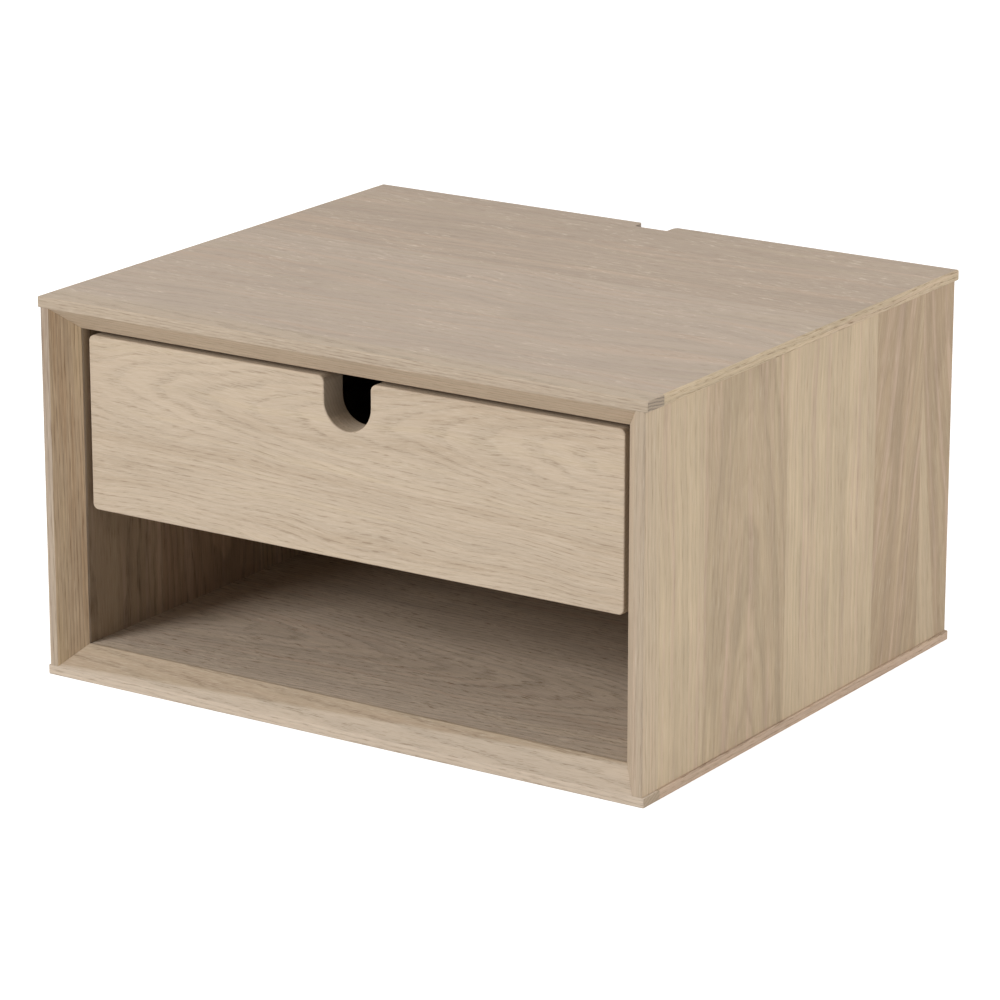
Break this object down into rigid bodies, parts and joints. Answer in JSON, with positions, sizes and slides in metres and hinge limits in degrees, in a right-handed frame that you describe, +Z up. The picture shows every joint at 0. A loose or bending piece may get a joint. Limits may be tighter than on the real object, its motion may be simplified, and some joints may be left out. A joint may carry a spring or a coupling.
{
  "type": "wall-hung nightstand",
  "caption": "Shallow wall-hung oak nightstand: bevelled box with a drawer with a U-shaped finger notch over an open shelf, on ball-bearing slides.",
  "frame": {"origin": "centre of the footprint, at the underside of the bottom panel", "axes": "+X to the right seen from the front, +Y to the wall, +Z up; the drawer opens along -Y"},
  "size_m": [0.45, 0.38, 0.25],
  "materials": {
    "oak_board": "matt, white-pigmented oak",
    "oak_lipping": "matt, white-pigmented solid oak",
    "oak_drawer_front": "matt, white-pigmented oak",
    "drawer_box_wood": "satin",
    "drawer_bottom_ply": "satin",
    "back_board": "matt",
    "rail_wood": "raw",
    "beech_dowel": "raw",
    "slide_steel": "zinc plated",
    "cage_steel": "zinc plated",
    "bearing_steel": "polished",
    "screw_steel": "zinc plated"
  },
  "bodies": {
    "carcass": {"back_panel": "back_board", "bottom_front_lipping": "oak_lipping", "bottom_joint_dowels": "beech_dowel", "bottom_left_lipping": "oak_lipping", "bottom_panel": "oak_board", "bottom_right_lipping": "oak_lipping", "hanging_rail": "rail_wood", "left_front_lipping": "oak_lipping", "left_side_panel": "oak_board", "left_slide_cabinet_member": "slide_steel", "left_slide_cabinet_member_screws": "screw_steel", "rail_dowels": "beech_dowel", "right_front_lipping": "oak_lipping", "right_side_panel": "oak_board", "right_slide_cabinet_member": "slide_steel", "right_slide_cabinet_member_screws": "screw_steel", "top_front_lipping": "oak_lipping", "top_joint_dowels": "beech_dowel", "top_left_lipping": "oak_lipping", "top_panel": "oak_board", "top_right_lipping": "oak_lipping"},
    "drawer": {"drawer_back": "drawer_box_wood", "drawer_back_dowels": "beech_dowel", "drawer_bottom": "drawer_bottom_ply", "drawer_front": "oak_drawer_front", "drawer_front_dowels": "beech_dowel", "drawer_left_side": "drawer_box_wood", "drawer_right_side": "drawer_box_wood", "left_slide_drawer_member": "slide_steel", "left_slide_drawer_member_screws": "screw_steel", "right_slide_drawer_member": "slide_steel", "right_slide_drawer_member_screws": "screw_steel"},
    "left_middle_member": {"left_slide_middle_member": "slide_steel"},
    "left_outer_ball_cage": {"left_slide_outer_ball_cage": "cage_steel", "left_slide_outer_balls": "bearing_steel"},
    "left_inner_ball_cage": {"left_slide_inner_ball_cage": "cage_steel", "left_slide_inner_balls": "bearing_steel"},
    "right_middle_member": {"right_slide_middle_member": "slide_steel"},
    "right_outer_ball_cage": {"right_slide_outer_ball_cage": "cage_steel", "right_slide_outer_balls": "bearing_steel"},
    "right_inner_ball_cage": {"right_slide_inner_ball_cage": "cage_steel", "right_slide_inner_balls": "bearing_steel"}
  },
  "joints": [
    {"name": "drawer_slide", "type": "slide", "parent": "carcass", "child": "drawer", "axis": [0, -1, 0], "range_m": [0, 0.3]},
    {"name": "left_middle_member_slide", "type": "slide", "parent": "carcass", "child": "left_middle_member", "axis": [0, -1, 0], "range_m": [0, 0.15]},
    {"name": "left_outer_ball_cage_slide", "type": "slide", "parent": "carcass", "child": "left_outer_ball_cage", "axis": [0, -1, 0], "range_m": [0, 0.075]},
    {"name": "left_inner_ball_cage_slide", "type": "slide", "parent": "carcass", "child": "left_inner_ball_cage", "axis": [0, -1, 0], "range_m": [0, 0.225]},
    {"name": "right_middle_member_slide", "type": "slide", "parent": "carcass", "child": "right_middle_member", "axis": [0, -1, 0], "range_m": [0, 0.15]},
    {"name": "right_outer_ball_cage_slide", "type": "slide", "parent": "carcass", "child": "right_outer_ball_cage", "axis": [0, -1, 0], "range_m": [0, 0.075]},
    {"name": "right_inner_ball_cage_slide", "type": "slide", "parent": "carcass", "child": "right_inner_ball_cage", "axis": [0, -1, 0], "range_m": [0, 0.225]}
  ],
  "couplings": [
    {"joint": "left_middle_member_slide", "follows": "drawer_slide", "ratio": 0.5},
    {"joint": "left_outer_ball_cage_slide", "follows": "drawer_slide", "ratio": 0.25},
    {"joint": "left_inner_ball_cage_slide", "follows": "drawer_slide", "ratio": 0.75},
    {"joint": "right_middle_member_slide", "follows": "drawer_slide", "ratio": 0.5},
    {"joint": "right_outer_ball_cage_slide", "follows": "drawer_slide", "ratio": 0.25},
    {"joint": "right_inner_ball_cage_slide", "follows": "drawer_slide", "ratio": 0.75}
  ]
}
